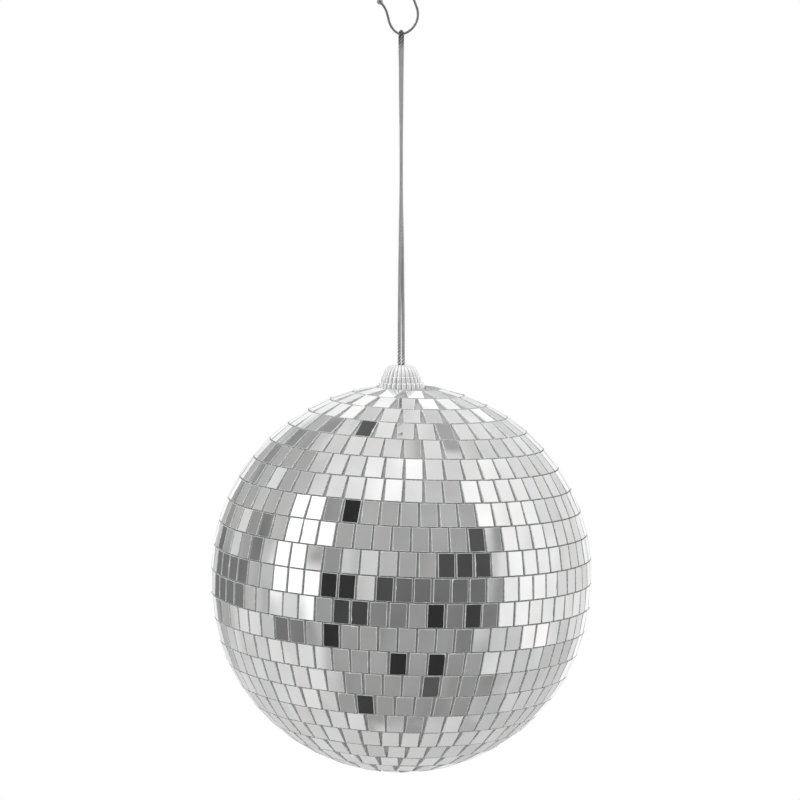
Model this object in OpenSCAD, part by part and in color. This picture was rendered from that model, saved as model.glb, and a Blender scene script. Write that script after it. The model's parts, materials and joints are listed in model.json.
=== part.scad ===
// Mirror ball on a looped cord, hung from an S-hook, in millimetres with +Z up.
// The origin is the inside crown of the hook's upper bend, where the hook bears on
// whatever holds it. The ball, its cap and the cord hang below, on the vertical axis.

/* [Ball] */
// Width of the ball over the corners of its tiles
ball_d = 150; // [130:1:200]
// Height of the straight band round the middle
band_h = 3; // [1:0.5:6]
// Wall of the moulded core
core_wall = 2; // [1.5:0.1:4]
// Thickness of the adhesive skin that the tiles are laid in
glue_t = 0.4; // [0.2:0.1:1]
// Lean of the shells and their rows to the side, degrees
lean_side = 2.3; // [0:0.1:2.5]
// Lean of the shells and their rows to the front, degrees
lean_front = 1; // [0:0.1:1.2]
// Depth of the ring that joins the two shells
seam_h = 12; // [8:1:24]

/* [Mirror tiles] */
// Width of a tile along its row
tile_w = 6.3; // [5:0.1:8]
// Thickness of the glass
tile_t = 1.3; // [1:0.1:2]
// Gap between one row and the next
row_gap = 0.5; // [0.4:0.1:1]
// Least gap between neighbours in a row
tile_gap = 0.6; // [0.25:0.05:1]
// Distance over the surface from the top pole to the first row
top_margin = 12.6; // [12.6:0.1:16]
// Distance over the surface from the last row to the bottom pole
bottom_margin = 7.6; // [7.5:0.1:10]
// Most that one tile is laid askew, degrees
askew = 0.4; // [0:0.1:0.5]

/* [Hanging cap] */
// Width of the lowest fluted tier
cap_d1 = 18; // [17.5:0.1:18.2]
// Width of the middle fluted tier
cap_d2 = 16; // [15.6:0.1:16.8]
// Width of the dome at its foot
cap_d3 = 14.4; // [14.2:0.1:15]
// Width of the flat top of the dome
cap_top_d = 9.2; // [8.8:0.1:10]
// Flutes round each tier
flutes = 26; // [22:1:32]
// Width of the hole that the cord comes out of
cord_hole = 4.6; // [4.4:0.1:5.2]

/* [Cord] */
// Thickness of one run of the cord
cord_d = 1.3; // [1:0.1:1.3]
// Width of the knot under the swivel washer
knot_d = 4.4; // [4.2:0.1:4.6]

/* [Hook] */
// Thickness of the wire
wire_d = 1; // [0.8:0.1:1.1]
// Width of the bead on each end of the wire
bead_d = 2.4; // [1.8:0.1:3]

/* [Hidden] */
$fn = 180;
ROWS = 23;

function row_name(row) = str("mirror_row_", row < 10 ? "0" : "", row);

// A little extra for cutters, so that they pass right through
over = 0.5;

// The hook's bends from its lower crown, each [radius, turn]. Nothing on it is quite
// straight: the long shank and the ends have a slight bend too.
crown_bends = [[2.6, 15], [7.85, 97]];
tip_bends = [[2.6, 30], [7.2, 44], [60, 3], [9.2, -28], [60, -1]];
shank_r = 200;
bead_depth = 0.9;
bead_play = 0.02;

// Where a walk along those bends ends, as [across, up, heading]
function walk(bends, at = [0, 0, 0], i = 0) =
    i == len(bends) ? at :
    let (reach = bends[i][0] * sign(bends[i][1]), next = at[2] + bends[i][1])
    walk(bends, [
        at[0] + reach * (sin(next) - sin(at[2])),
        at[1] + reach * (cos(at[2]) - cos(next)),
        next
    ], i + 1);

// The shank crosses the vertical axis half way between the two crowns
shank_start = walk(crown_bends);
shank_turn = 180 - asin(sin(shank_start[2]) + shank_start[0] / shank_r) - shank_start[2];
shank_bends = concat(crown_bends, [[shank_r, shank_turn]]);
half_rise = walk(shank_bends)[1];
tip_end = walk(tip_bends);

// The wire's middle line, with a ring every few degrees of each bend
bend_step = 6;
wire_sides = 12;
function along(bends) = [
    for (i = [0 : len(bends) - 1])
        let (rings = max(2, ceil(abs(bends[i][1]) / bend_step)))
        for (k = [1 : rings])
            walk(concat(
                [for (j = [0 : 1 : i - 1]) bends[j]],
                [[bends[i][0], bends[i][1] * k / rings]]
            ))
];
function reversed(list) = [for (i = [len(list) - 1 : -1 : 0]) list[i]];
shank_line = [for (p = along(shank_bends)) [p[0], 0, p[1]]];
tip_line = [for (p = along(tip_bends)) [-p[0], 0, p[1]]];
lower_half = concat(reversed(shank_line), [[0, 0, 0]], tip_line);
upper_half = [for (p = lower_half) [-p[0], 0, 2 * half_rise - p[2]]];
hook_line = concat(reversed(upper_half), [for (i = [1 : len(lower_half) - 1]) lower_half[i]]);

crown_z = wire_d / 2 - 2 * half_rise;

// The cord's route, from the lower crown of the hook: one run comes up from the knot,
// leaves the mouth of the cap at its second point and goes over the wire, and the other
// goes back down as the first one's half turn
rising_run = [
    [-0.72, 0, -131.8], [-0.8, 0, -128.8], [-0.79, -0.05, -121], [-0.76, -0.12, -112],
    [-0.68, -0.22, -103], [-0.59, -0.38, -93], [-0.46, -0.54, -83], [-0.28, -0.65, -73],
    [-0.08, -0.7, -62], [0, -0.7, -50], [0.08, -0.7, -38], [0.22, -0.67, -26],
    [0.32, -0.65, -14], [0.44, -0.85, -6], [0.52, -1.12, -2]
];
over_wire = [
    [0.54, -1.22, 0], [0.38, -0.86, 0.86], [0, 0, 1.22], [-0.38, 0.86, 0.86], [-0.54, 1.22, 0]
];
last = len(rising_run) - 1;
cord_route = concat(
    rising_run,
    over_wire,
    [for (i = [last : -1 : 0]) [-rising_run[i][0], -rising_run[i][1], rising_run[i][2]]]
);
ring_step = 4.4;
cord_sides = 8;
cap_top_z = crown_z + rising_run[1][2];

// The cap, upwards from its seat on the core
tier1_h = 2.7;
tier2_h = 2.5;
dome_h = 4.3;
roof_t = 1.2;
cap_h = tier1_h + tier2_h + dome_h;
cap_seat_z = cap_top_z - cap_h;

// The dome is part of a ball that passes through its foot and its flat top
dome_lift = (pow(cap_top_d / 2, 2) + pow(dome_h, 2) - pow(cap_d3 / 2, 2)) / (2 * dome_h);
dome_r = norm([cap_d3 / 2, dome_lift]);

// The neck of the core inside the cap, and the chamber above it
neck_d = 11.6;
neck_bore = 8.8;
neck_h = 5.1;
neck_play = 0.2;
chamber_d = 8.8;
seat_d = 18.4;
seat_t = 2.4;

// The washer that the knot pulls up against
washer_d = 8.3;
washer_t = 0.6;
washer_hole = 3.7;
washer_play = 0.12;
knot_play = 0.15;
washer_z = cap_top_z - roof_t - washer_play - washer_t;
knot_z = washer_z - sqrt(pow(knot_d, 2) - pow(washer_hole, 2)) / 2 - knot_play;
tail_d = 1.3;
tail_l = 5;
tail_splay = 14;

// Radii of the ball, outwards: core, adhesive, backs and faces of the tiles.
// A flat tile's corners stand a little further out than its middle.
corner_rise = 0.2;
laid_gap = 0.02;
face_r = ball_d / 2 - corner_rise;
back_r = face_r - tile_t;
glue_r = back_r - laid_gap;
core_r = glue_r - glue_t;
inner_r = core_r - core_wall;
seam_t = 1.6;
ball_z = cap_seat_z - core_r - band_h / 2;

// The rows share out the way down the surface from pole to pole
quarter = PI * face_r / 2;
row_pitch = (2 * quarter + band_h - top_margin - bottom_margin) / ROWS;
tile_h = row_pitch - row_gap;
pole_tile_w = 4.8;

function row_mid(row) = top_margin + row_pitch * (row - 0.5);
function past_top(s) = min(max(s - quarter, 0), band_h);
function polar(s) = (s - past_top(s)) / face_r * 180 / PI;
function lift(s) = band_h / 2 - past_top(s);
// Distance from the ball's axis to the end of a tile's back that is nearer a pole
function tight_r(row) =
    let (angle = polar(row_mid(row)))
    back_r * sin(angle) - tile_h / 2 * abs(cos(angle));
function tiles_in(row) = floor(180 / atan((tile_w + tile_gap) / 2 / tight_r(row)));

// A point on a smooth curve through four route points, between the middle two
function between(a, b, c, d, t) =
    0.5 * (2 * b + (c - a) * t + (2 * a - 5 * b + 4 * c - d) * t * t
    + (3 * b - a - 3 * c + d) * t * t * t);
function route_at(i) = cord_route[min(max(i, 0), len(cord_route) - 1)];
function rings_after(i) = ceil(norm(route_at(i + 1) - route_at(i)) / ring_step);
cord_line = [
    for (i = [0 : len(cord_route) - 2], k = [0 : rings_after(i) - 1])
        between(route_at(i - 1), route_at(i), route_at(i + 1), route_at(i + 2),
            k / rings_after(i)),
    route_at(len(cord_route) - 1)
];

// A round tube swept along a line that never runs along the steady direction
function unit(v) = v / norm(v);
function way_at(line, i) =
    unit(line[min(i + 1, len(line) - 1)] - line[max(i - 1, 0)]);
function ring(line, i, d, sides, steady) =
    let (way = way_at(line, i), side = unit(steady - (steady * way) * way))
    [for (k = [0 : sides - 1])
        let (angle = 360 * k / sides)
        line[i] + d / 2 * (cos(angle) * side + sin(angle) * cross(way, side))];

module tube(line, d, sides, steady) {
    rings = len(line);
    points = [for (i = [0 : rings - 1]) each ring(line, i, d, sides, steady)];
    walls = [
        for (i = [0 : rings - 2], k = [0 : sides - 1])
            let (a = i * sides + k, b = i * sides + (k + 1) % sides)
            each [[a, a + sides, b], [b, a + sides, b + sides]]
    ];
    near_end = [for (k = [0 : sides - 1]) k];
    far_end = [for (k = [sides - 1 : -1 : 0]) (rings - 1) * sides + k];
    polyhedron(points, concat(walls, [near_end, far_end]));
}

// --- Hook ---

module at_crown() {
    translate([0, 0, crown_z])
        children();
}

// The upper half of the hook is the lower half turned over about the shank's middle
module turned_over() {
    translate([0, 0, half_rise])
        rotate([0, 180, 0])
            translate([0, 0, -half_rise])
                children();
}

module hook_wire() {
    color("silver")
        at_crown()
            tube(hook_line, wire_d, wire_sides, [0, 1, 0]);
}

// A bead with a socket for the end of the wire
module bead() {
    mirror([1, 0, 0])
        translate([tip_end[0], 0, tip_end[1]])
            rotate([0, -tip_end[2], 0])
                difference() {
                    translate([bead_d / 2 - bead_depth, 0, 0])
                        sphere(d = bead_d, $fn = 32);
                    translate([-bead_depth - over, 0, 0])
                        rotate([0, 90, 0])
                            cylinder(d = wire_d + 2 * bead_play, h = bead_depth + over);
                }
}

module hook_bead_lower() {
    color("silver")
        at_crown()
            bead();
}

module hook_bead_upper() {
    color("silver")
        at_crown()
            turned_over()
                bead();
}

// --- Cord ---

module hanging_cord() {
    color("lightgray")
        at_crown()
            tube(cord_line, cord_d, cord_sides, [1, 0, 0]);
}

module cord_knot() {
    color("lightgray")
        translate([0, 0, knot_z]) {
            sphere(d = knot_d, $fn = 48);
            for (side = [-1, 1])
                rotate([0, 180 + side * tail_splay, 0])
                    cylinder(d = tail_d, h = knot_d / 2 + tail_l, $fn = 24);
        }
}

module swivel_washer() {
    color("gainsboro")
        translate([0, 0, washer_z])
            difference() {
                cylinder(d = washer_d, h = washer_t);
                translate([0, 0, -over])
                    cylinder(d = washer_hole, h = washer_t + 2 * over);
            }
}

// --- Cap ---

// A tier is a disc set round with upright ribs, each a hair from the next
module tier(width, height) {
    flute_r = 0.45 * PI * width / flutes;
    linear_extrude(height) {
        circle(r = width / 2 - flute_r);
        for (i = [0 : flutes - 1])
            rotate(360 / flutes * i)
                translate([width / 2 - flute_r, 0])
                    circle(r = flute_r, $fn = 24);
    }
}

module dome() {
    rotate_extrude()
        intersection() {
            translate([0, dome_lift])
                circle(r = dome_r);
            square([cap_d3 / 2, dome_h]);
        }
}

module hanging_cap() {
    color("silver")
        translate([0, 0, cap_seat_z])
            difference() {
                union() {
                    tier(cap_d1, tier1_h);
                    translate([0, 0, tier1_h])
                        tier(cap_d2, tier2_h);
                    translate([0, 0, tier1_h + tier2_h])
                        dome();
                }
                translate([0, 0, -over])
                    cylinder(d = neck_d + neck_play, h = neck_h + neck_play + over);
                cylinder(d = chamber_d, h = cap_h - roof_t);
                cylinder(d = cord_hole, h = cap_h + over);
            }
}

// --- Core and adhesive ---

// The ball hangs on the vertical axis, and its shells and rows lean together
module leaning() {
    translate([0, 0, ball_z])
        rotate([lean_front, lean_side, 0])
            children();
}

// Half of a ball's outline: a quarter circle on half of the straight band
module half_outline(r) {
    translate([0, band_h / 2])
        intersection() {
            circle(r = r);
            square(r);
        }
    square([r, band_h / 2]);
}

module half_shell(outer, inner) {
    rotate_extrude()
        difference() {
            half_outline(outer);
            half_outline(inner);
        }
}

module core_upper() {
    color("whitesmoke")
        difference() {
            union() {
                leaning()
                    half_shell(core_r, inner_r);
                translate([0, 0, cap_seat_z - seat_t])
                    cylinder(d = seat_d, h = seat_t);
                translate([0, 0, cap_seat_z])
                    cylinder(d = neck_d, h = neck_h);
            }
            translate([0, 0, cap_seat_z - seat_t - 2 * over])
                cylinder(d = neck_bore, h = seat_t + neck_h + 3 * over);
        }
}

module core_lower() {
    color("whitesmoke")
        leaning()
            mirror([0, 0, 1])
                half_shell(core_r, inner_r);
}

module seam_ring() {
    color("gainsboro")
        leaning()
            rotate_extrude()
                intersection() {
                    translate([inner_r - seam_t, -seam_h / 2])
                        square([seam_t, seam_h]);
                    union() {
                        half_outline(inner_r);
                        mirror([0, 1])
                            half_outline(inner_r);
                    }
                }
}

module adhesive_upper() {
    color("gray")
        difference() {
            leaning()
                half_shell(glue_r, core_r);
            translate([0, 0, cap_seat_z - 2 * seat_t])
                cylinder(d = seat_d + 2 * over, h = 3 * seat_t);
        }
}

module adhesive_lower() {
    color("gray")
        leaning()
            mirror([0, 0, 1])
                half_shell(glue_r, core_r);
}

// --- Mirror tiles ---

// Puts a tile's parts on the ball, with +X outwards from the middle of its back
module laid_at(s, round_angle) {
    translate([0, 0, lift(s)])
        rotate([0, polar(s) - 90, round_angle])
            translate([back_r, 0, 0])
                children();
}

module mirror_row(row) {
    count = tiles_in(row);
    start = rands(0, 360, 1, 40 + row)[0];
    tilts = rands(-askew, askew, 3 * count, 100 + row);
    color("lightsteelblue")
        leaning()
            for (i = [0 : count - 1])
                laid_at(row_mid(row), start + 360 / count * i)
                    rotate([tilts[3 * i], tilts[3 * i + 1], tilts[3 * i + 2]])
                        translate([0, -tile_w / 2, -tile_h / 2])
                            cube([tile_t, tile_w, tile_h]);
}

// Four small squares close the bottom pole
module mirror_pole_tiles() {
    color("lightsteelblue")
        leaning()
            for (x = [-1, 1], y = [-1, 1])
                translate([
                    x * (pole_tile_w + tile_gap) / 2 - pole_tile_w / 2,
                    y * (pole_tile_w + tile_gap) / 2 - pole_tile_w / 2,
                    -band_h / 2 - face_r
                ])
                    cube([pole_tile_w, pole_tile_w, tile_t]);
}

hook_wire();
hook_bead_upper();
hook_bead_lower();
hanging_cord();
cord_knot();
swivel_washer();
hanging_cap();
core_upper();
core_lower();
seam_ring();
adhesive_upper();
adhesive_lower();
mirror_pole_tiles();
for (row = [1 : ROWS])
    mirror_row(row);
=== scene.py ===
"""A mirror ball on a looped cord, hung from an S-hook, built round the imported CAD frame."""

import json
import math
import random

import bmesh
import bpy
import numpy as np
from mathutils import Matrix, Vector, noise


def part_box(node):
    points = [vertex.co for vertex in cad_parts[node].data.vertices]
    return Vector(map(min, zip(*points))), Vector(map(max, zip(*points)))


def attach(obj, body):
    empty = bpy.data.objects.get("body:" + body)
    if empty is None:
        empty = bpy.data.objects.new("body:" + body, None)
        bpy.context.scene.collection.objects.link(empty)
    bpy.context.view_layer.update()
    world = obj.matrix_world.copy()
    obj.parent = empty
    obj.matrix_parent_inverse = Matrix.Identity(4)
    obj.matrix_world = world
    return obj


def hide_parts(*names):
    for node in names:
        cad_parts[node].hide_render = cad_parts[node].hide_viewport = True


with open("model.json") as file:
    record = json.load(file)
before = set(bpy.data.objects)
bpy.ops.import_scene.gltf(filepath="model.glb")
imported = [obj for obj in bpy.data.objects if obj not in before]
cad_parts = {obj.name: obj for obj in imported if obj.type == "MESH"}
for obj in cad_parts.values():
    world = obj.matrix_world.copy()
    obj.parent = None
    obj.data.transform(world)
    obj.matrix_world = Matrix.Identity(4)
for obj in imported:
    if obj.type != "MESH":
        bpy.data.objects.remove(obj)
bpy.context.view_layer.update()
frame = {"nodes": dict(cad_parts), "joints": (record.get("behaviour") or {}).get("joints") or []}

MM = 0.001
JOINTS = {joint["name"]: joint for joint in frame["joints"]}
CROWN = Vector(JOINTS["cord_swing"]["pos_m"])
KNOT = Vector(JOINTS["ball_spin"]["pos_m"])


def middle(node):
    """The middle of a CAD node's box."""
    low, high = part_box(node)
    return (low + high) / 2


BALL = middle("seam_ring")


# --- Camera ---

LENS = 135
CAMERA_DISTANCE = 1.183
CAMERA_RISE = 0.070
CAMERA_SHIFT = -0.0005
CAMERA_PITCH = math.radians(4.5)


def add_camera():
    """The camera stands in front of the ball and a little above it, and looks slightly down."""
    ahead = Vector((0, math.cos(CAMERA_PITCH), -math.sin(CAMERA_PITCH)))
    above = Vector((0, math.sin(CAMERA_PITCH), math.cos(CAMERA_PITCH)))
    camera = bpy.data.objects.new("camera", bpy.data.cameras.new("camera"))
    camera.data.lens = LENS
    camera.data.sensor_width = 36
    camera.data.clip_start = 0.01
    camera.location = BALL - CAMERA_DISTANCE * ahead + CAMERA_RISE * above
    camera.location.x += CAMERA_SHIFT
    camera.rotation_euler = (math.radians(90) - CAMERA_PITCH, 0, 0)
    bpy.context.scene.collection.objects.link(camera)
    bpy.context.scene.camera = camera


# --- Making meshes ---

SHARP_DEGREES = 35


def turn_outwards(mesh):
    """Turns every face of a closed mesh outwards."""
    form = bmesh.new()
    form.from_mesh(mesh)
    bmesh.ops.recalc_face_normals(form, faces=form.faces)
    form.to_mesh(mesh)
    form.free()


def add_piece(name, vertices, faces, body, slot, finishes, face_finish=None, ridge=None,
              sharp=SHARP_DEGREES):
    """One mesh piece that rides on a body. face_finish has a value for each face, and ridge one for
    each vertex: 1 on what stands out and 0 in the depth of a groove. Edges that turn by more than
    the sharp angle stay sharp."""
    mesh = bpy.data.meshes.new(name)
    mesh.from_pydata([tuple(v) for v in vertices], [], faces)
    turn_outwards(mesh)
    for finish in finishes:
        mesh.materials.append(finish)
    if face_finish:
        mesh.polygons.foreach_set("material_index", face_finish)
    if ridge is not None:
        mesh.attributes.new("ridge", "FLOAT", "POINT").data.foreach_set("value", ridge)
    mesh.polygons.foreach_set("use_smooth", [True] * len(faces))
    mesh.set_sharp_from_angle(angle=math.radians(sharp))
    mesh.update()
    piece = bpy.data.objects.new(name, mesh)
    bpy.context.scene.collection.objects.link(piece)
    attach(piece, body)
    return piece


def frames_along(line):
    """A way, a side and a third direction at each point of a line, with no needless turning."""
    ways = np.gradient(line, axis=0)
    ways /= np.linalg.norm(ways, axis=1)[:, None]
    side = np.cross(ways[0], (0.31, 0.95, 0.05))
    sides = []
    for way in ways:
        side = side - way * side.dot(way)
        side = side / np.linalg.norm(side)
        sides.append(side)
    sides = np.array(sides)
    return ways, sides, np.cross(ways, sides)


def swept(line, radii, sides):
    """Vertices and faces of a closed tube along a line. radii has a row of sides for each point."""
    _, across, third = frames_along(line)
    angles = np.arange(sides) * 2 * math.pi / sides
    spokes = np.cos(angles)[:, None] * across[:, None] + np.sin(angles)[:, None] * third[:, None]
    vertices = (line[:, None] + spokes * radii[:, :, None]).reshape(-1, 3)
    faces = []
    for ring in range(len(line) - 1):
        for k in range(sides):
            a, b = ring * sides + k, ring * sides + (k + 1) % sides
            faces.append((a, b, b + sides, a + sides))
    last = (len(line) - 1) * sides
    faces.append(tuple(range(sides - 1, -1, -1)))
    faces.append(tuple(range(last, last + sides)))
    return vertices, faces


def merged(parts):
    """Several (vertices, faces) parts as one."""
    vertices, faces, count = [], [], 0
    for part_vertices, part_faces in parts:
        vertices.extend(part_vertices)
        faces.extend(tuple(i + count for i in face) for face in part_faces)
        count += len(part_vertices)
    return vertices, faces


def turned(rings, closed=True):
    """Vertices and faces of a form whose rings follow one another, the last back to the first."""
    count, sides = len(rings), len(rings[0])
    vertices = [point for ring in rings for point in ring]
    faces = []
    for r in range(count if closed else count - 1):
        below, above = r * sides, (r + 1) % count * sides
        for k in range(sides):
            after = (k + 1) % sides
            faces.append((below + k, below + after, above + after, above + k))
    return vertices, faces


# --- Making materials ---

class Finish:
    """A material on one Principled shader, whose textures lie in the object's own space."""

    def __init__(self, name, **sockets):
        self.material = bpy.data.materials.new(name)
        self.material.use_nodes = True
        self.nodes = self.material.node_tree.nodes
        self.links = self.material.node_tree.links
        self.shader = self.nodes["Principled BSDF"]
        for socket, value in sockets.items():
            self.shader.inputs[socket.replace("_", " ")].default_value = value
        self.place = self.nodes.new("ShaderNodeTexCoord").outputs["Object"]

    def link(self, source, node, socket):
        self.links.new(source, node.inputs[socket])

    def noise(self, per_metre, detail=3, stretch=(1, 1, 1)):
        scaling = self.nodes.new("ShaderNodeMapping")
        scaling.inputs["Scale"].default_value = stretch
        self.link(self.place, scaling, "Vector")
        node = self.nodes.new("ShaderNodeTexNoise")
        node.inputs["Scale"].default_value = per_metre
        node.inputs["Detail"].default_value = detail
        self.link(scaling.outputs[0], node, "Vector")
        return node.outputs["Fac"]

    def cells(self, per_metre):
        node = self.nodes.new("ShaderNodeTexVoronoi")
        node.inputs["Scale"].default_value = per_metre
        self.link(self.place, node, "Vector")
        return node.outputs["Distance"]

    def island(self):
        """A random value for each separate part of the mesh."""
        return self.nodes.new("ShaderNodeNewGeometry").outputs["Random Per Island"]

    def ridge(self):
        """1 on what stands out of the piece and 0 in the depth of its grooves."""
        node = self.nodes.new("ShaderNodeAttribute")
        node.attribute_name = "ridge"
        return node.outputs["Fac"]

    def ramp(self, source, *stops):
        """Colours or greys at places along a source, as (place, value) pairs."""
        node = self.nodes.new("ShaderNodeValToRGB")
        marks = node.color_ramp.elements
        while len(marks) < len(stops):
            marks.new(0.5)
        for mark, (place, value) in zip(marks, stops):
            shade = value if isinstance(value, tuple) else (value, value, value)
            mark.position = place
            mark.color = (*shade, 1)
        self.link(source, node, "Fac")
        return node.outputs["Color"]

    def blend(self, first, second, kind="MULTIPLY", amount=1.0):
        node = self.nodes.new("ShaderNodeMix")
        node.data_type = "RGBA"
        node.blend_type = kind
        node.inputs["Factor"].default_value = amount
        colours = [socket for socket in node.inputs if socket.type == "RGBA"]
        self.links.new(first, colours[0])
        self.links.new(second, colours[1])
        return [socket for socket in node.outputs if socket.type == "RGBA"][0]

    def colour(self, source):
        self.link(source, self.shader, "Base Color")
        return self

    def roughness(self, source):
        self.link(source, self.shader, "Roughness")
        return self

    def bump(self, source, distance, strength=1.0):
        node = self.nodes.new("ShaderNodeBump")
        node.inputs["Distance"].default_value = distance
        node.inputs["Strength"].default_value = strength
        self.link(source, node, "Height")
        for link in list(self.shader.inputs["Normal"].links):
            self.link(link.from_socket, node, "Normal")
        self.link(node.outputs[0], self.shader, "Normal")
        return self


def mirror_silver():
    """The silvered face, with a faint haze of smudges and a hair of tint from tile to tile."""
    finish = Finish("mirror_silver", Metallic=1.0)
    tint = finish.ramp(
        finish.island(), (0, (0.87, 0.875, 0.87)), (0.5, (0.9, 0.9, 0.9)), (1, (0.9, 0.89, 0.88))
    )
    smudge = finish.ramp(finish.noise(90, 5), (0.35, 0.96), (0.6, 1.0))
    finish.colour(finish.blend(tint, smudge))
    return finish.roughness(finish.ramp(finish.noise(150, 4), (0.35, 0.02), (0.7, 0.075))).material


def ground_glass():
    """The cut and ground edges of a tile, pale with a trace of green."""
    finish = Finish("ground_glass", Specular_IOR_Level=0.5)
    finish.colour(finish.ramp(finish.noise(900, 4), (0.3, (0.46, 0.48, 0.47)), (0.7, (0.68, 0.70, 0.69))))
    finish.roughness(finish.ramp(finish.noise(1600, 3), (0.3, 0.3), (0.7, 0.6)))
    return finish.bump(finish.noise(5000, 3), 0.03 * MM, 0.6).material


def backing_paint():
    """The grey paint that protects the silver."""
    finish = Finish("backing_paint")
    finish.colour(finish.ramp(finish.noise(700, 4), (0.3, (0.22, 0.23, 0.24)), (0.7, (0.33, 0.34, 0.35))))
    return finish.roughness(finish.ramp(finish.noise(1100, 3), (0.3, 0.5), (0.7, 0.75))).material


def adhesive_skin():
    """Dull grey adhesive, blotched and pitted where it has been pressed up between the tiles."""
    finish = Finish("adhesive_skin", Specular_IOR_Level=0.35)
    blotch = finish.ramp(finish.noise(160, 5), (0.3, (0.27, 0.27, 0.272)), (0.7, (0.38, 0.38, 0.375)))
    pits = finish.ramp(finish.cells(1500), (0.0, 0.72), (0.35, 1.0))
    finish.colour(finish.blend(blotch, pits))
    finish.roughness(finish.ramp(finish.noise(600, 4), (0.3, 0.55), (0.7, 0.85)))
    finish.bump(finish.noise(1400, 4), 0.12 * MM, 0.8)
    return finish.bump(finish.cells(2600), 0.05 * MM, 0.6).material


def moulded_plastic(name, dark, light):
    """Moulded shell plastic with a fine spark-eroded grain."""
    finish = Finish(name, Specular_IOR_Level=0.4)
    finish.colour(finish.ramp(finish.noise(120, 4), (0.3, dark), (0.7, light)))
    finish.roughness(finish.ramp(finish.noise(900, 3), (0.3, 0.42), (0.7, 0.6)))
    return finish.bump(finish.noise(3200, 2), 0.04 * MM, 0.5).material


def cap_silver():
    """Bright silvered plastic, with painted highlights on the crests of its flutes and painted shade
    between them.
    """
    finish = Finish("cap_silver", Metallic=0.6)
    # painted light: the flute crests are lit up near white and the grooves are painted dark grey, from
    # the ridge value
    wear_and_painted_shade = finish.ramp(finish.ridge(), (0.0, (0.22, 0.22, 0.225)), (0.6, (0.97, 0.97, 0.975)))
    cloud = finish.ramp(finish.noise(420, 5), (0.3, 0.9), (0.65, 1.0))
    finish.colour(finish.blend(wear_and_painted_shade, cloud))
    finish.roughness(finish.ramp(finish.noise(1300, 4), (0.3, 0.24), (0.7, 0.42)))
    return finish.bump(finish.noise(2400, 3), 0.035 * MM, 0.7).material


def cord_yarn():
    """Metallised yarn: thin bright strips, with painted shade darkening the grooves where they turn
    under.
    """
    finish = Finish("cord_yarn", Metallic=0.7)
    # painted shade: near black in the grooves between the plies and strips, brighter on the crests, from
    # the ridge value
    ridge = finish.ramp(finish.ridge(), (0.5, (0.02, 0.02, 0.021)), (0.95, (0.82, 0.82, 0.825)))
    glint = finish.ramp(finish.noise(1500, 2, (1, 1, 0.4)), (0.35, 0.75), (0.62, 1.0))
    finish.colour(finish.blend(ridge, glint))
    finish.roughness(finish.ramp(finish.noise(3500, 2), (0.3, 0.28), (0.7, 0.55)))
    return finish.bump(finish.noise(6500, 2, (1, 1, 0.35)), 0.05 * MM, 0.8).material


def drawn_steel(name, dark, light, rough):
    """Drawn steel with fine lines of wear."""
    finish = Finish(name, Metallic=1.0)
    finish.colour(finish.ramp(finish.noise(900, 5), (0.3, dark), (0.7, light)))
    finish.roughness(finish.ramp(finish.noise(2200, 4, (1, 1, 0.3)), (0.3, rough), (0.7, rough + 0.2)))
    return finish.bump(finish.noise(5200, 3, (1, 1, 0.3)), 0.012 * MM, 0.6).material


# --- Cord ---

CORD_D = 1.3 * MM
PLIES = 3
PLY_PITCH = 3.9 * MM
STRIPS = 5
STRIP_PITCH = 0.55 * PLY_PITCH
PLY_FULLNESS = 1.17
STRIP_DEPTH = 0.07
GROOVE_DEPTH = 0.5
CREST_RISE = 0.6
PRESSED = 0.14
PRESSED_REACH = 6.5 * MM
CORD_STEP = 0.22 * MM
KNOT_STEP = 0.25 * MM
KNOT_TIGHTNESS = 0.47 * MM
KNOT_POINTS = 96
KNOT_START = 40
RISING_RUN = [
    (-0.72, 0, -131.8), (-0.8, 0, -128.8), (-0.79, -0.05, -121), (-0.76, -0.12, -112),
    (-0.68, -0.22, -103), (-0.59, -0.38, -93), (-0.46, -0.54, -83), (-0.28, -0.65, -73),
    (-0.08, -0.7, -62), (0, -0.7, -50), (0.08, -0.7, -38), (0.22, -0.67, -26),
    (0.32, -0.65, -14), (0.44, -0.85, -6), (0.52, -1.12, -2),
]
OVER_WIRE = [
    (0.54, -1.22, 0), (0.38, -0.86, 0.86), (0, 0, 1.22), (-0.38, 0.86, 0.86), (-0.54, 1.22, 0),
]


def smooth_line(points, step):
    """Points a step apart along the same smooth curve as the CAD cord's."""
    points = [np.array(p, float) for p in points]
    line = []
    for i in range(len(points) - 1):
        a, b, c, d = (points[min(max(k, 0), len(points) - 1)] for k in range(i - 1, i + 3))
        rings = max(2, math.ceil(np.linalg.norm(c - b) / step))
        for k in range(rings):
            t = k / rings
            line.append(0.5 * (2 * b + (c - a) * t + (2 * a - 5 * b + 4 * c - d) * t ** 2
                               + (3 * b - a - 3 * c + d) * t ** 3))
    line.append(points[-1])
    return np.array(line)


def line_length(line):
    """How far it is along a line of points."""
    return float(np.linalg.norm(np.diff(line, axis=0), axis=1).sum())


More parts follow.
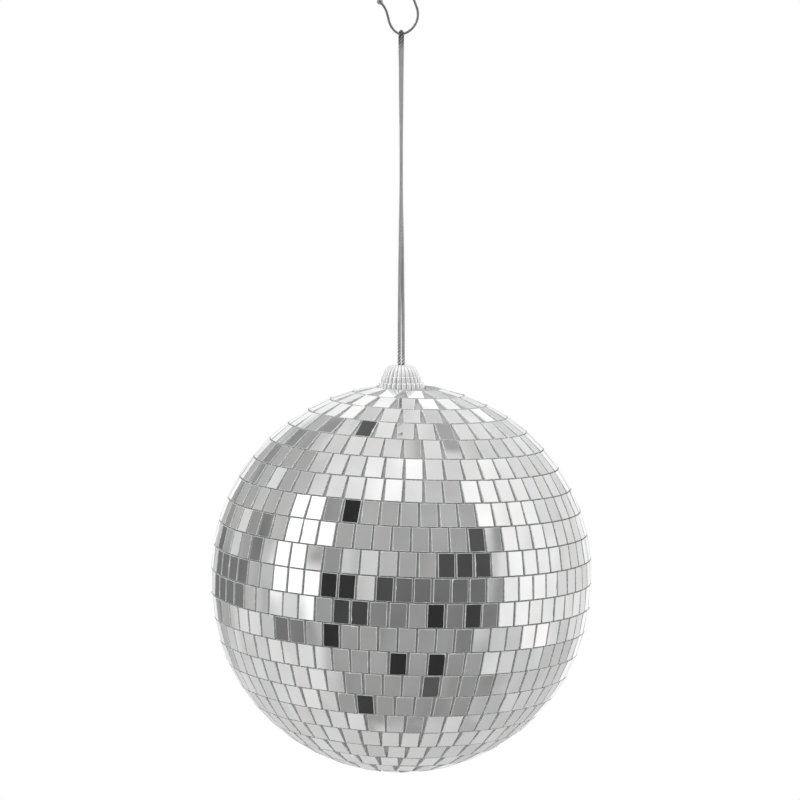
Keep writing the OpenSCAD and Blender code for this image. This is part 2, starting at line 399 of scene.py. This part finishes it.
def twisted(line, pressed=0.0):
    """Plies laid round a line, each ribbed by the strips that it is spun from, and thinner by the
    pressed share about the middle of the line. It gives the vertices, the faces and how far each
    vertex stands out of the cord."""
    ply_r = CORD_D / 2 / (1 + 2 / math.sqrt(3))
    laid_r = CORD_D / 2 - ply_r
    _, across, third = frames_along(line)
    run = np.concatenate([[0], np.cumsum(np.linalg.norm(np.diff(line, axis=0), axis=1))])
    sides = 3 * STRIPS
    around = np.arange(sides) * 2 * math.pi / sides
    fullness = 1 - pressed * np.exp(-((run - run[-1] / 2) / PRESSED_REACH) ** 4)
    parts = []
    for ply in range(PLIES):
        turn = 2 * math.pi * (run / PLY_PITCH + ply / PLIES)
        spokes = np.cos(turn)[:, None] * across + np.sin(turn)[:, None] * third
        helix = line + laid_r * fullness[:, None] * spokes
        spin = STRIPS * around[None] - 2 * math.pi * run[:, None] / STRIP_PITCH
        radii = ply_r * fullness[:, None] * (PLY_FULLNESS + STRIP_DEPTH * np.cos(spin))
        parts.append(swept(helix, radii, sides))
    vertices, faces = merged(parts)
    spines = np.repeat(np.tile(line, (PLIES, 1)), sides, axis=0)
    off = np.linalg.norm(np.array(vertices) - spines, axis=1) / (CORD_D / 2)
    ridge = np.clip((off - GROOVE_DEPTH) / CREST_RISE, 0, 1)
    return vertices, faces, ridge


def make_cord(finish):
    """One length of twisted cord, doubled over the hook with both ends in the knot."""
    rising = [np.array(p) * MM + np.array(CROWN) for p in RISING_RUN]
    over = [np.array(p) * MM + np.array(CROWN) for p in OVER_WIRE]
    falling = [np.array((-x, -y, z)) * MM + np.array(CROWN) for x, y, z in reversed(RISING_RUN)]
    line = smooth_line(rising + over + falling, CORD_STEP)
    vertices, faces, ridge = twisted(line, PRESSED)
    cord = add_piece("twisted_cord", vertices, faces, "cord", "metallic_cord", [finish], ridge=ridge)
    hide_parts("hanging_cord")
    return cord, line, rising[1]


def make_knot(finish):
    """The knot that holds both ends in the cap, pulled tight, with its tails hanging down."""
    turns = np.linspace(0, 2 * math.pi, KNOT_POINTS, endpoint=False)
    trefoil = np.stack([
        np.sin(turns) + 2 * np.sin(2 * turns),
        np.cos(turns) - 2 * np.cos(2 * turns),
        -1.4 * np.sin(3 * turns),
    ], axis=1) * KNOT_TIGHTNESS
    trefoil = np.roll(trefoil, KNOT_START, axis=0) + np.array(KNOT)
    parts = [twisted(smooth_line(trefoil, KNOT_STEP))]
    for side in (-1, 1):
        tail = [
            (side * 0.5, 0, -0.8), (side * 0.9, side * 0.15, -2.6),
            (side * 1.35, side * 0.1, -4.6), (side * 1.65, 0, -6.7),
        ]
        points = [np.array(p) * MM + np.array(KNOT) for p in tail]
        parts.append(twisted(smooth_line(points, KNOT_STEP)))
    vertices, faces = merged([part[:2] for part in parts])
    ridge = np.concatenate([part[2] for part in parts])
    knot = add_piece("pulled_knot", vertices, faces, "cord", "metallic_cord", [finish], ridge=ridge)
    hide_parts("cord_knot")
    return knot


# --- Hook ---

BEAD_SIDES = 36
BEAD_STEP = 9


def finish_hook(wire_finish, bead_finish):
    """The CAD wire, rounded off, and a turned bead with a collar on each of its ends."""
    wire = frame["nodes"]["hook_wire"]
    weld = wire.modifiers.new("weld", "WELD")
    weld.merge_threshold = 0.001 * MM
    rounded = wire.modifiers.new("rounded", "SUBSURF")
    rounded.levels = rounded.render_levels = 2
    wire.data.polygons.foreach_set("use_smooth", [True] * len(wire.data.polygons))
    wire.data.materials.clear()
    wire.data.materials.append(wire_finish)
    points = np.array([v.co for v in wire.data.vertices])
    for node in ("hook_bead_lower", "hook_bead_upper"):
        centre = np.array(middle(node))
        radius = (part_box(node)[1].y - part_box(node)[0].y) / 2
        near = points[np.linalg.norm(points - centre, axis=1) < 3 * radius]
        outwards = centre - near.mean(axis=0)
        outwards /= np.linalg.norm(outwards)
        make_bead(node, centre, outwards, radius, bead_finish)


def make_bead(node, centre, outwards, radius, finish):
    """A bead pressed onto the wire: a short collar, a groove and a slightly flattened ball."""
    outline = [(-1.0, 0.46), (-1.0, 0.56), (-0.94, 0.6), (-0.86, 0.6), (-0.81, 0.56), (-0.79, 0.585)]
    for degrees in range(144, -1, -BEAD_STEP):
        angle = math.radians(degrees)
        outline.append((0.97 * math.cos(angle), math.sin(angle) if degrees else 0.02))
    side = np.cross(outwards, (0, 1, 0))
    side /= np.linalg.norm(side)
    third = np.cross(outwards, side)
    rings = []
    for along, out in outline:
        ring = []
        for k in range(BEAD_SIDES):
            angle = 2 * math.pi * k / BEAD_SIDES
            spoke = math.cos(angle) * side + math.sin(angle) * third
            ring.append(centre + radius * (along * outwards + out * spoke))
        rings.append(ring)
    vertices, faces = turned(rings, closed=False)
    last = (len(rings) - 1) * BEAD_SIDES
    faces.append(tuple(range(BEAD_SIDES - 1, -1, -1)))
    faces.append(tuple(range(last, last + BEAD_SIDES)))
    name = node.replace("hook_", "") + "_turned"
    bead = add_piece(name, vertices, faces, "hook", "bead_steel", [finish])
    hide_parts(node)


# --- Cap and washer ---

FLUTES = 26
CAP_TIERS = [(18 * MM, 17.6 * MM, 2.7 * MM), (16 * MM, 15.4 * MM, 2.5 * MM)]
TIER_ROUND = 0.5 * MM
DOME_FOOT_D = 14.4 * MM
DOME_TOP_D = 9.2 * MM
CAP_ROOF = 1.2 * MM
CORD_HOLE = 4.6 * MM
CHAMBER_D = 8.8 * MM
NECK_BORE = 11.8 * MM
NECK_DEPTH = 5.3 * MM
RIB_SHARE = 0.9 * math.pi / FLUTES
POINTS_PER_FLUTE = 12
# How a tier's foot rounds in to what it stands on: (height, how far in, share of the flutes left)
TIER_FOOT = [(0, 0.16 * MM, 0.8), (0.06 * MM, 0.05 * MM, 0.92), (0.2 * MM, 0, 1)]
TIER_FADE = 0.7
DOME_INSET = 0.1 * MM
DOME_FADE = 0.9
DOME_STEPS = 15
LIP_RISE = 0.28 * MM
LIP_INSET = 0.3 * MM
LIP_REACH = 0.34 * MM
LIP_STEPS = 5
HOLE_ROUND = 0.35 * MM
# the ridge value of the cap's unfluted faces, which keeps them bright in the painted flute shade
SMOOTH_RIDGE = 0.6
WASHER_HOLE_D = 3.7 * MM
WASHER_ROLL = 0.16 * MM
WASHER_BURR = 0.05 * MM
WASHER_SIDES = 72


def flute(angle):
    """From 0 in a groove to 1 on a crest, for round ribs that touch one another."""
    reach = 1 - RIB_SHARE
    pitch = 2 * math.pi / FLUTES
    off = (angle + pitch / 2) % pitch - pitch / 2
    crest = reach * math.cos(off) + math.sqrt(max(RIB_SHARE ** 2 - (reach * math.sin(off)) ** 2, 0))
    return max(crest - reach, 0) / RIB_SHARE


def quarter(steps):
    """The angles of a quarter turn, in even steps."""
    return [math.radians(90 * step / steps) for step in range(steps + 1)]


def cap_outline():
    """The cap from its seat up over the dome and down through its bore, as (height, radius,
    depth of the flutes)."""
    outline = []
    height = 0
    for foot, head, rise in CAP_TIERS:
        foot_r, head_r = foot / 2, head / 2
        rib = foot_r * RIB_SHARE
        for up, inset, share in TIER_FOOT:
            outline.append((height + up, foot_r - inset, rib * share))
        outline.append((height + rise / 2, (foot_r + head_r) / 2, rib))
        for angle in quarter(6):
            fall = TIER_ROUND * (1 - math.cos(angle))
            level = height + rise - TIER_ROUND * (1 - math.sin(angle))
            outline.append((level, head_r - fall, rib - fall * TIER_FADE))
        height += rise
    low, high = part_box("hanging_cap")
    top = high.z - low.z
    foot_r, head_r, rise = DOME_FOOT_D / 2, DOME_TOP_D / 2, top - height
    lift = (head_r ** 2 + rise ** 2 - foot_r ** 2) / (2 * rise)
    ball_r = math.hypot(foot_r, lift)
    outline.append((height, foot_r - DOME_INSET, foot_r * RIB_SHARE * DOME_FADE))
    for step in range(1, DOME_STEPS):
        level = rise * step / DOME_STEPS
        radius = math.sqrt(ball_r ** 2 - (level - lift) ** 2)
        outline.append((height + level, radius, radius * RIB_SHARE))
    for step, angle in enumerate(quarter(LIP_STEPS)):
        outline.append((
            top - LIP_RISE * (1 - math.sin(angle)),
            head_r - LIP_INSET + LIP_REACH * math.cos(angle),
            head_r * RIB_SHARE * DOME_FADE * (1 - step / (LIP_STEPS + 2)),
        ))
    hole = CORD_HOLE / 2
    for angle in quarter(LIP_STEPS):
        fall, inset = HOLE_ROUND * (1 - math.cos(angle)), HOLE_ROUND * (1 - math.sin(angle))
        outline.append((top - fall, hole + inset, 0))
    for level, radius in (
        (top - CAP_ROOF, hole), (top - CAP_ROOF, CHAMBER_D / 2), (NECK_DEPTH, CHAMBER_D / 2),
        (NECK_DEPTH, NECK_BORE / 2), (0, NECK_BORE / 2),
    ):
        outline.append((level, radius, 0))
    return outline


def make_cap(finish):
    """The hollow fluted cap."""
    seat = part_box("hanging_cap")[0].z
    count = FLUTES * POINTS_PER_FLUTE
    rings, ridge = [], []
    for level, radius, depth in cap_outline():
        ring = []
        for k in range(count):
            angle = 2 * math.pi * k / count
            crest = flute(angle)
            reach = radius - depth * (1 - crest)
            ring.append((reach * math.cos(angle), reach * math.sin(angle), seat + level))
            ridge.append(crest if depth else SMOOTH_RIDGE)
        rings.append(ring)
    cap = add_piece("fluted_cap", *turned(rings), "ball", "cap_metal", [finish], ridge=ridge)
    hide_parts("hanging_cap")


def circle(radius, level, sides):
    """A level ring of points round the Z axis."""
    angles = [2 * math.pi * k / sides for k in range(sides)]
    return [(radius * math.cos(angle), radius * math.sin(angle), level) for angle in angles]


def make_washer(finish):
    """The punched washer that the cap turns on: one edge rolled over, the other burred."""
    low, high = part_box("swivel_washer")
    outer = (high.x - low.x) / 2
    inner = WASHER_HOLE_D / 2
    thick = high.z - low.z
    near = WASHER_ROLL * 0.3
    corners = [
        (inner, 0), (inner, thick - WASHER_ROLL), (inner + near, thick - near),
        (inner + WASHER_ROLL, thick), (outer - WASHER_ROLL, thick), (outer - near, thick - near),
        (outer, thick - WASHER_ROLL), (outer, WASHER_BURR), (outer - WASHER_BURR, 0),
    ]
    rings = [circle(radius, low.z + level, WASHER_SIDES) for radius, level in reversed(corners)]
    washer = add_piece("punched_washer", *turned(rings), "washer", "washer_steel", [finish])
    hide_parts("swivel_washer")


# --- Adhesive ---

BAND = 3 * MM
CORE_R = 73.08 * MM
BEDDING = 0.5 * MM
BEDDING_WAVES = [(0.10 * MM, 60), (0.05 * MM, 190)]
NECK_HOLE_R = 9.75 * MM
POLE_SINE = 0.004
BAND_FADE = 12
SKIN_ROUND = 300
SKIN_DOWN = 78


def ball_axis():
    """The axis that the rows are laid round, square to the row next to the middle."""
    tiles = np.array([tile["middle"] for tile in read_tiles("mirror_row_12")])
    _, _, directions = np.linalg.svd(tiles - tiles.mean(axis=0))
    axis = directions[2]
    return axis if axis[2] > 0 else -axis


def skin_ways(sign, share, axis, hole):
    """The directions of one ring of a skin, a share of the way from the middle to its pole. The
    upper skin ends at a level hole round the cap, and the lower one at the axis."""
    side = np.cross((0, 1, 0), axis)
    side /= np.linalg.norm(side)
    front = np.cross(axis, side)
    ways = []
    for k in range(SKIN_ROUND):
        angle = sign * 2 * math.pi * k / SKIN_ROUND
        rim = math.cos(angle) * side + math.sin(angle) * front
        if sign > 0:
            end = np.array((hole * math.cos(angle), hole * math.sin(angle), math.sqrt(1 - hole ** 2)))
        else:
            end = -axis * math.sqrt(1 - POLE_SINE ** 2) + POLE_SINE * rim
        gap = math.acos(float(np.clip(rim.dot(end), -1, 1)))
        ways.append((math.sin((1 - share) * gap) * rim + math.sin(share * gap) * end) / math.sin(gap))
    return ways


def bedding_radius(way, back_r):
    """How far out the adhesive stands in one direction."""
    reach = back_r + BEDDING
    for rise, scale in BEDDING_WAVES:
        reach += rise * noise.noise(Vector(way) * scale)
    return reach


def make_adhesive(finish, axis):
    """Both skins of adhesive, which rise a little between the tiles that are bedded in them. Each
    is an outer and an inner face, with a straight band next to the middle."""
    low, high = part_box("adhesive_lower")
    back_r = (high.x - low.x) / 2
    for node, sign in (("adhesive_upper", 1), ("adhesive_lower", -1)):
        outer, inner = [], []
        for down in range(SKIN_DOWN + 1):
            share = down / SKIN_DOWN
            ways = skin_ways(sign, share, axis, NECK_HOLE_R / back_r)
            lift = sign * BAND / 2 * min(1, share * BAND_FADE) * axis
            outer.append([np.array(BALL) + way * bedding_radius(way, back_r) + lift for way in ways])
            inner.append([np.array(BALL) + way * CORE_R + lift for way in ways])
        vertices, faces = turned(outer + inner[::-1])
        skin = add_piece(node + "_bed", vertices, faces, "ball", "adhesive", [finish])
        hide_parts(node)


# --- Mirror tiles ---

TILE_COLUMNS = 5
TILE_ROWS = 6
ARRIS = 0.12 * MM
SIDE_ARRIS = 0.19 * MM
SIDE_PLAY = 0.14 * MM
BOW = 0.022 * MM
BOW_SHOWN = 0.6
RIPPLE = 0.4
LOOSE_DEGREES = 0.6
FACE_DROP = 0.04 * MM
SIDE_MIDDLE = 0.55
SIDE_RAGGED = 0.03 * MM
BACK_RAGGED = 0.05 * MM
CHIPPED_SHARE = 0.3
CHIP_MM = (0.08, 0.3)
CHIP_DROP = 0.2 * MM
ARRIS_SHARP_DEGREES = 9
SQUARE_ENOUGH = 1e-3
SAME_POINT = 1e-6


def read_tiles(node):
    """The middle, the sizes and the directions of each tile in a CAD row, in order round it."""
    mesh = bmesh.new()
    mesh.from_mesh(frame["nodes"][node].data)
    bmesh.ops.remove_doubles(mesh, verts=mesh.verts, dist=SAME_POINT)
    left = set(mesh.verts)
    tiles = []
    while left:
        found = {left.pop()}
        border = list(found)
        while border:
            for edge in border.pop().link_edges:
                for vertex in edge.verts:
                    if vertex in left:
                        left.discard(vertex)
                        found.add(vertex)
                        border.append(vertex)
        corners = sorted(tuple(v.co) for v in found)
        tiles.append(tile_from(np.array(corners)))
    mesh.free()
    return sorted(tiles, key=lambda tile: math.atan2(tile["middle"][1], tile["middle"][0]))


def are_square(edge, other):
    """Whether two edges stand square to each other."""
    return abs(edge.dot(other)) < SQUARE_ENOUGH * np.linalg.norm(edge) * np.linalg.norm(other)


def tile_from(corners):
    """A tile's directions are the three edges that meet, square to each other, at one corner."""
    edges = sorted((corners[1:] - corners[0]), key=np.linalg.norm)
    square = [edges[0]]
    for edge in edges[1:]:
        if all(are_square(edge, other) for other in square):
            square.append(edge)
    thin, wide, high = square[:3]
    centre = corners.mean(axis=0)
    out = thin / np.linalg.norm(thin)
    out = out if out.dot(centre - np.array(BALL)) > 0 else -out
    up = high / np.linalg.norm(high)
    up = up if up[2] > 0 else -up
    sizes = [float(np.linalg.norm(edge)) for edge in (wide, high, thin)]
    return {"middle": centre, "sizes": sizes, "ways": np.stack([np.cross(up, out), up, out])}


def rim_of_grid(columns, rows):
    """The indices of a grid's outer points, in order round it."""
    rim = list(range(columns))
    rim += [r * columns + columns - 1 for r in range(1, rows)]
    rim += [(rows - 1) * columns + c for c in range(columns - 2, -1, -1)]
    rim += [r * columns for r in range(rows - 2, 0, -1)]
    return rim


def add_tile(tile, draw, vertices, faces, kinds):
    """A cut mirror tile: a polished face with a faint bow, a worn arris, and ground edges."""
    width, height, thick = tile["sizes"]
    bow = [draw.gauss(0, BOW) for _ in range(3)]
    slip = draw.uniform(-SIDE_PLAY, SIDE_PLAY)
    tilt = Matrix.Rotation(math.radians(draw.gauss(0, LOOSE_DEGREES)), 3, "X") \
        @ Matrix.Rotation(math.radians(draw.gauss(0, LOOSE_DEGREES)), 3, "Y")
    seed = draw.uniform(0, 50)
    start = len(vertices)
    local = []
    rim = rim_of_grid(TILE_COLUMNS, TILE_ROWS)
    chip = draw.choice(rim) if draw.random() < CHIPPED_SHARE else None
    for r in range(TILE_ROWS):
        for c in range(TILE_COLUMNS):
            u, v = 2 * c / (TILE_COLUMNS - 1) - 1, 2 * r / (TILE_ROWS - 1) - 1
            wear_and_painted_shade = 0.8 + 0.6 * abs(noise.noise(Vector((u * 3, v * 3, seed))))
            chipped = draw.uniform(*CHIP_MM) * MM if r * TILE_COLUMNS + c == chip else 0
            rise = bow[0] * (1 - u * u) + bow[1] * (1 - v * v) + 0.5 * bow[2] * u * v
            rise += RIPPLE * BOW * noise.noise(Vector((u * 1.3, v * 1.6, seed + 9)))
            local.append((
                slip + u * (width / 2 - SIDE_ARRIS * wear_and_painted_shade - chipped),
                v * (height / 2 - ARRIS * wear_and_painted_shade - chipped),
                thick / 2 - FACE_DROP + rise * BOW_SHOWN,
            ))
    edge = len(local)
    for drop, give in ((ARRIS, 0.0), (thick * SIDE_MIDDLE, SIDE_RAGGED), (thick, BACK_RAGGED)):
        for index in rim:
            u = 2 * (index % TILE_COLUMNS) / (TILE_COLUMNS - 1) - 1
            v = 2 * (index // TILE_COLUMNS) / (TILE_ROWS - 1) - 1
            ragged = give * noise.noise(Vector((u * 5, v * 5, seed + drop * 900)))
            extra = CHIP_DROP if index == chip and drop == ARRIS else 0
            across, along = width / 2 + ragged, height / 2 + ragged
            local.append((slip + u * across, v * along, thick / 2 - drop - extra))
    for point in local:
        leaned = np.array(tilt @ Vector(point))
        vertices.append(tile["middle"] + leaned @ tile["ways"])
    for r in range(TILE_ROWS - 1):
        for c in range(TILE_COLUMNS - 1):
            a = start + r * TILE_COLUMNS + c
            faces.append((a, a + 1, a + TILE_COLUMNS + 1, a + TILE_COLUMNS))
            kinds.append(0)
    count = len(rim)
    loops = [[start + index for index in rim]]
    loops += [[start + edge + ring * count + k for k in range(count)] for ring in range(3)]
    for upper, lower in zip(loops, loops[1:]):
        for k in range(count):
            after = (k + 1) % count
            faces.append((upper[after], upper[k], lower[k], lower[after]))
            kinds.append(1)
    faces.append(tuple(reversed(loops[-1])))
    kinds.append(2)


def make_tiles(node, seed, finishes):
    """One CAD row of tiles as detailed ones."""
    draw = random.Random(seed)
    vertices, faces, kinds = [], [], []
    for tile in read_tiles(node):
        add_tile(tile, draw, vertices, faces, kinds)
    piece = add_piece(
        node.replace("mirror", "glass"), vertices, faces, "ball", "mirror_glass", finishes, kinds,
        sharp=ARRIS_SHARP_DEGREES,
    )
    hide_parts(node)


# --- Studio ---

# What the mirrors see, in degrees round from the front (to the right) and up, painted one
# over another: (round, up, half width, half height, brightness, softness)
STUDIO = [
    (135, -52, 50, 34, 0.63, 16),    # the room's lower half, a little dimmer
    (-150, -52, 40, 34, 0.68, 16),
    (82, 15, 26, 44, 0.95, 8),       # wall of light on the right
    (-166, 17, 17, 30, 0.98, 8),     # light walls behind
    (166, -5, 16, 17, 1.0, 8),
    (-124, 16, 31, 35, 0.47, 6),     # grey drapes on the left
    (-144, 18, 4, 32, 0.33, 3),
    (-120, 20, 5, 18, 0.7, 4),
    (-109, 14, 4, 12, 0.34, 3),
    (-100, 12, 4, 12, 0.22, 3),
    (-127, -5, 22, 7, 0.2, 4),
    (-112, -17, 13, 5, 0.85, 4),
    (169, 36, 12, 8, 1.15, 5),
    (-172, 36, 8, 8, 1.1, 5),
    (-67, 19, 21, 27, 1.4, 3),       # large softbox on the left
    (-91, 8, 5, 30, 0.55, 4),
    (-75, -20, 14, 6, 0.2, 4),
    (2, -22, 58, 66, 0.33, 5),       # dim room in front
    (0, 36, 50, 10, 0.46, 6),
    (-49, 24, 7, 7, 1.2, 3),
    (-18, 13, 15, 8, 0.62, 4),
    (12, 14, 12, 8, 0.42, 4),
    (8, -20, 52, 8, 0.23, 4),
    (-57, 3, 5, 9, 1.2, 2),
    (-15, 67, 42, 11, 1.0, 6),
    (28, 50, 26, 6, 0.55, 5),
    (135, 66, 38, 6, 0.42, 5),
    (70, 80, 14, 5, 0.33, 4),
    (66, -22, 16, 6, 0.62, 4),
    (77, -56, 19, 10, 0.3, 4),
    (102, -58, 16, 9, 0.46, 4),
    (-70, -70, 10, 12, 0.35, 4),
    (-20, -32, 34, 9, 0.38, 6),
    (37, 10, 16, 10, 0.08, 3),       # dark stands, flags and gaps
    (26, -2, 26, 6, 0.16, 3),
    (-39, 0, 12, 7, 0.035, 2),
    (-22, 0, 5, 7, 0.65, 2),
    (-10, 0, 6, 7, 0.08, 2),
    (-32, -10, 12, 5, 0.07, 2),
    (20, -13, 5, 6, 0.03, 2),
    (42, -12, 6, 6, 0.06, 2),
    (-45, -23, 6, 7, 0.035, 2),
    (-4, -42, 6, 6, 0.03, 2),
    (26, -42, 6, 7, 0.035, 2),
    (27, -55, 7, 7, 0.09, 2),
    (-45, -67, 8, 6, 0.05, 3),
    (-40, 43, 6, 6, 0.03, 2),
    (49, 22, 6, 8, 0.1, 3),
    (-145, 66, 9, 6, 0.12, 3),
]
STUDIO_LEVEL = 0.77
CLOUD_SCALE = 7
CLOUD_DETAIL = 2
CLOUD_REACH = 0.8
CLOUD_LEAST = 0.6
# (name, place from the ball, size, power)
LIGHTS = [
    ("key_light", (-0.9, -1.1, 1.0), 0.9, 14),
    ("fill_light", (1.2, -0.8, 0.5), 1.0, 8),
    ("top_light", (0.1, 0.3, 1.5), 1.2, 12),
]
FLOOR_DROP = 0.42
FLOOR_RADII = (0.02, 0.2, 0.4, 0.6, 0.8, 1.0, 1.1)
FLOOR_SIDES = 96


class Sky:
    """Arithmetic on the world's nodes."""

    def __init__(self):
        world = bpy.data.worlds.new("studio")
        bpy.context.scene.world = world
        world.use_nodes = True
        self.nodes = world.node_tree.nodes
        self.links = world.node_tree.links
        self.nodes.clear()

    def sum(self, operation, *values):
        node = self.nodes.new("ShaderNodeMath")
        node.operation = operation
        for socket, value in zip(node.inputs, values):
            if isinstance(value, (int, float)):
                socket.default_value = value
            else:
                self.links.new(value, socket)
        return node.outputs[0]

    def within(self, value, centre, half, soft):
        """1 inside a stretch, 0 outside it, and a smooth edge between."""
        off = self.sum("ABSOLUTE", self.sum("SUBTRACT", value, centre))
        node = self.nodes.new("ShaderNodeMapRange")
        node.interpolation_type = "SMOOTHSTEP"
        self.links.new(off, node.inputs["Value"])
        node.inputs["From Min"].default_value = half + soft / 2
        node.inputs["From Max"].default_value = half - soft / 2
        return node.outputs[0]


def make_studio():
    """A plain white surround for the camera, and a photographic studio for the mirrors."""
    sky = Sky()
    way = sky.nodes.new("ShaderNodeSeparateXYZ")
    sky.links.new(sky.nodes.new("ShaderNodeTexCoord").outputs["Generated"], way.inputs[0])
    x, y, z = way.outputs
    bearing = sky.sum("MULTIPLY", sky.sum("ARCTAN2", x, sky.sum("MULTIPLY", y, -1)), 180 / math.pi)
    rise = sky.sum("MULTIPLY", sky.sum("ARCSINE", z), 180 / math.pi)
    cloud = sky.nodes.new("ShaderNodeTexNoise")
    cloud.inputs["Scale"].default_value = CLOUD_SCALE
    cloud.inputs["Detail"].default_value = CLOUD_DETAIL
    level = STUDIO_LEVEL
    for centre, height, half, half_high, bright, soft in STUDIO:
        across, along = sky.within(bearing, centre, half, soft), sky.within(rise, height, half_high, soft)
        inside = sky.sum("MULTIPLY", across, along)
        step = sky.sum("MULTIPLY", inside, sky.sum("SUBTRACT", bright, level))
        level = sky.sum("ADD", level, step)
    clouding = sky.sum("MULTIPLY_ADD", cloud.outputs["Fac"], CLOUD_REACH, CLOUD_LEAST)
    level = sky.sum("MULTIPLY", level, clouding)
    seen = sky.nodes.new("ShaderNodeLightPath").outputs["Is Camera Ray"]
    level = sky.sum("ADD", level, sky.sum("MULTIPLY", seen, sky.sum("SUBTRACT", 1.0, level)))
    shine = sky.nodes.new("ShaderNodeBackground")
    sky.links.new(level, shine.inputs["Color"])
    out = sky.nodes.new("ShaderNodeOutputWorld")
    sky.links.new(shine.outputs[0], out.inputs["Surface"])


def add_light(name, place, size, power):
    """A soft area light turned to the ball, which the mirrors don't show."""
    light = bpy.data.objects.new(name, bpy.data.lights.new(name, "AREA"))
    light.data.size = size
    light.data.energy = power
    light.location = BALL + Vector(place)
    light.rotation_euler = (-Vector(place)).to_track_quat("-Z", "Y").to_euler()
    light.visible_glossy = False
    bpy.context.scene.collection.objects.link(light)


def make_floor():
    """A pale floor below the ball, outside the main view."""
    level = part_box("adhesive_lower")[0].z - FLOOR_DROP
    rings = [circle(radius, level, FLOOR_SIDES) for radius in FLOOR_RADII]
    vertices, faces = turned(rings, closed=False)
    faces.append(tuple(range(FLOOR_SIDES)))
    mesh = bpy.data.meshes.new("floor")
    mesh.from_pydata(vertices, [], faces)
    floor = bpy.data.objects.new("floor", mesh)
    finish = Finish("floor_paint")
    finish.colour(finish.ramp(finish.noise(3, 3), (0.3, 0.86), (0.7, 0.9)))
    finish.roughness(finish.ramp(finish.noise(8, 3), (0.3, 0.6), (0.7, 0.75)))
    mesh.materials.append(finish.material)
    floor.visible_glossy = False
    bpy.context.scene.collection.objects.link(floor)


# --- The scene ---

add_camera()

yarn = cord_yarn()
cord, cord_line, cord_exit = make_cord(yarn)
knot = make_knot(yarn)
line_length(cord_line)

finish_hook(
    drawn_steel("hook_wire_steel", (0.34, 0.34, 0.345), (0.48, 0.48, 0.485), 0.22),
    drawn_steel("hook_bead_steel", (0.40, 0.40, 0.405), (0.56, 0.56, 0.565), 0.2),
)
make_cap(cap_silver())
make_washer(drawn_steel("washer_plate", (0.46, 0.46, 0.465), (0.62, 0.62, 0.62), 0.3))

rows = sorted(name for name in frame["nodes"] if name.startswith("mirror_row"))
tile_finishes = [mirror_silver(), ground_glass(), backing_paint()]
for number, row in enumerate(rows + ["mirror_pole_tiles"]):
    make_tiles(row, number, tile_finishes)
make_adhesive(adhesive_skin(), ball_axis())

for name, finish in (
    ("core_upper", moulded_plastic("core_white", (0.74, 0.74, 0.72), (0.82, 0.82, 0.80))),
    ("core_lower", moulded_plastic("core_white_lower", (0.74, 0.74, 0.72), (0.82, 0.82, 0.80))),
    ("seam_ring", moulded_plastic("ring_grey", (0.62, 0.62, 0.6), (0.72, 0.72, 0.7))),
):
    frame["nodes"][name].data.materials.clear()
    frame["nodes"][name].data.materials.append(finish)

make_studio()
make_floor()
for light in LIGHTS:
    add_light(*light)
bpy.context.scene.view_settings.view_transform = "Standard"
